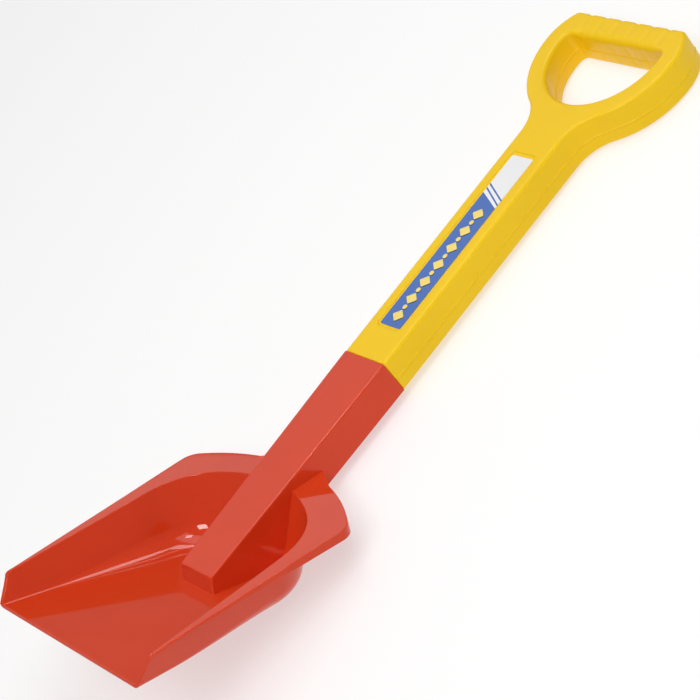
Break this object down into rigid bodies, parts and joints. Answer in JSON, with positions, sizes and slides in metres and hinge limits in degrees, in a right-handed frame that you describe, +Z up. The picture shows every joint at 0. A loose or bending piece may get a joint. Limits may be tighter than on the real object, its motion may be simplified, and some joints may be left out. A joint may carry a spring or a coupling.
{
  "type": "beach spade",
  "caption": "Child's beach spade: wide plastic scoop with a rim flange and a moulded stem socket, plugged by a hollow straight handle with a D-grip and a front label.",
  "frame": {"origin": "centre of the bounding box's footprint, on the ground plane that the scoop's heel and the back of the grip touch", "axes": "+Y runs from the scoop's lip to the top of the grip, +X is to the right across the scoop, +Z is up, out of the scoop's open side"},
  "size_m": [0.171, 0.5538, 0.0921],
  "materials": {
    "red_plastic": "gloss moulded plastic",
    "yellow_plastic": "satin blow-moulded plastic",
    "label_print": "gloss printed film, blue and white"
  },
  "bodies": {
    "root": {"scoop_blade": "red_plastic", "grip_handle": "yellow_plastic", "front_label": "label_print"}
  },
  "joints": []
}
